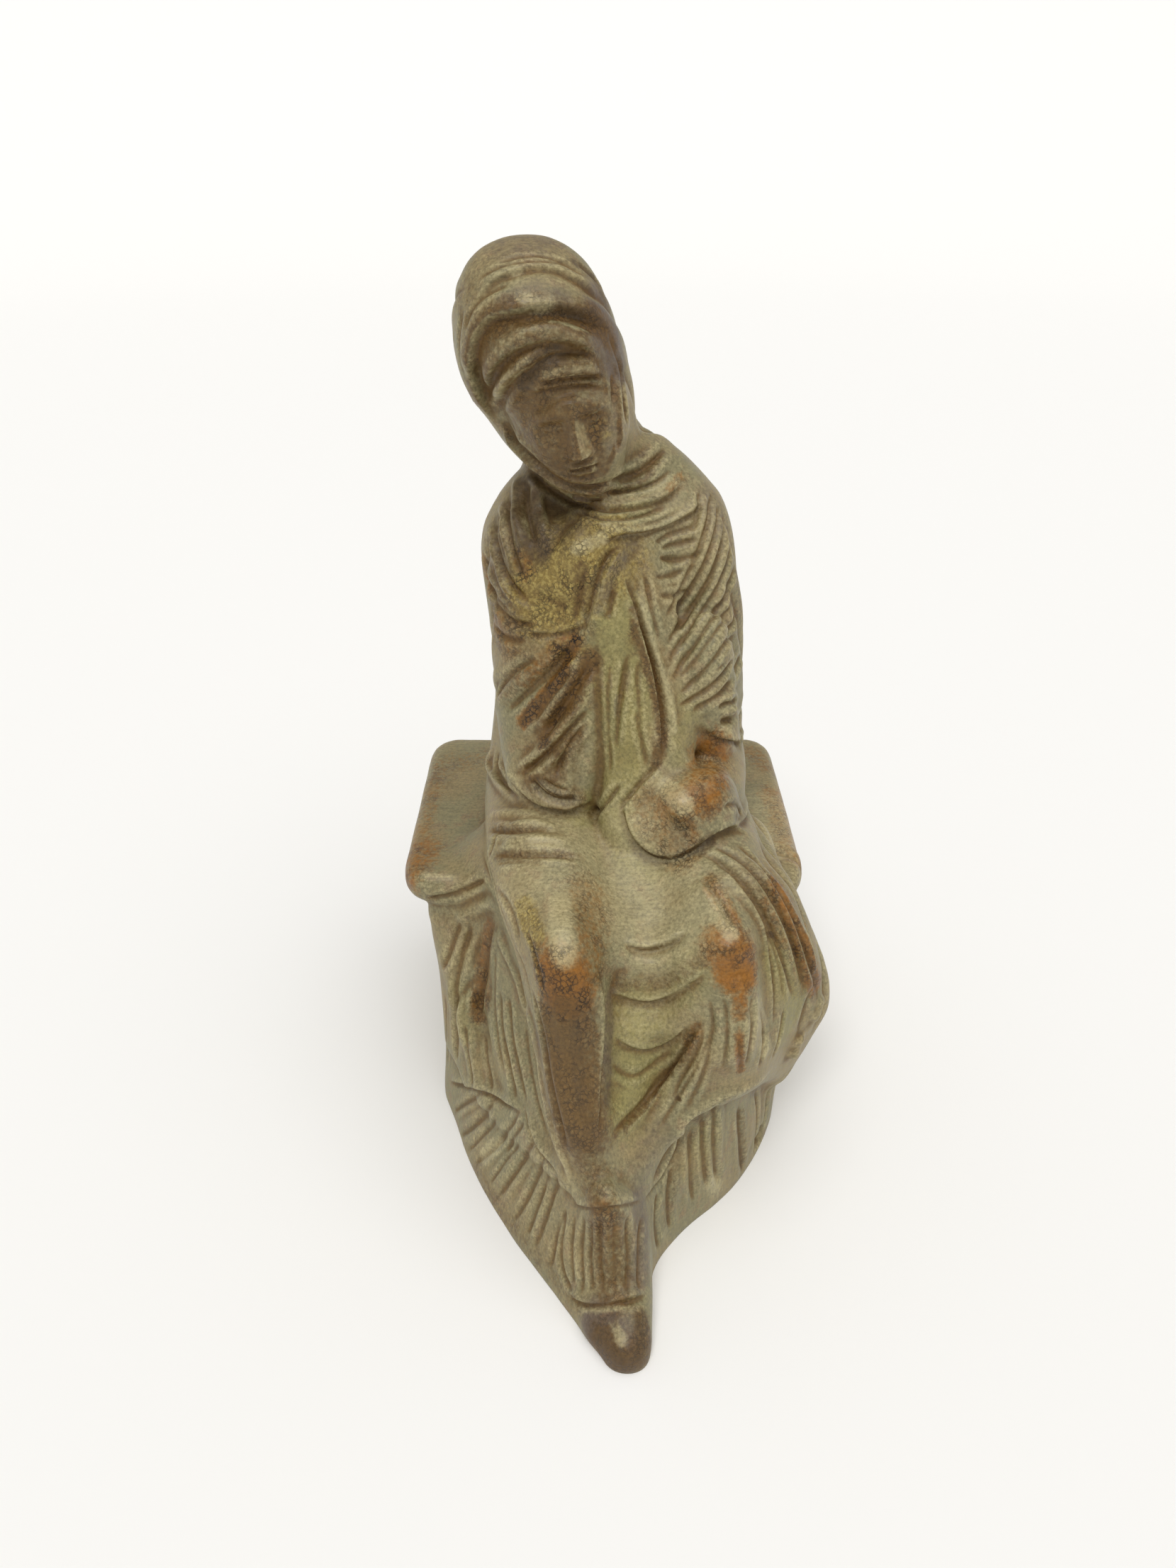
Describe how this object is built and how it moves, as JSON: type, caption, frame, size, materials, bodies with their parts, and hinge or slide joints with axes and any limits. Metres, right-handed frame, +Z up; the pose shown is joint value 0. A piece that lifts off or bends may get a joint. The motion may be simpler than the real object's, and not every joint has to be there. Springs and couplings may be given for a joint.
{
  "type": "seated draped woman figurine",
  "caption": "Seated woman wrapped in a mantle and hood, chin on her hand, legs to one side, cast in one with her block seat; stands flat on its underside.",
  "frame": {"origin": "on the table plane, under the centre of the figure's bounding box", "axes": "+Z up, -Y the way she faces, +X to the right of someone facing her"},
  "size_m": [0.131, 0.1947, 0.26],
  "materials": {
    "patinated_terracotta": "satin, olive-cream patina rubbed through to orange-brown clay"
  },
  "bodies": {
    "root": {"seated_woman": "patinated_terracotta"}
  },
  "joints": []
}
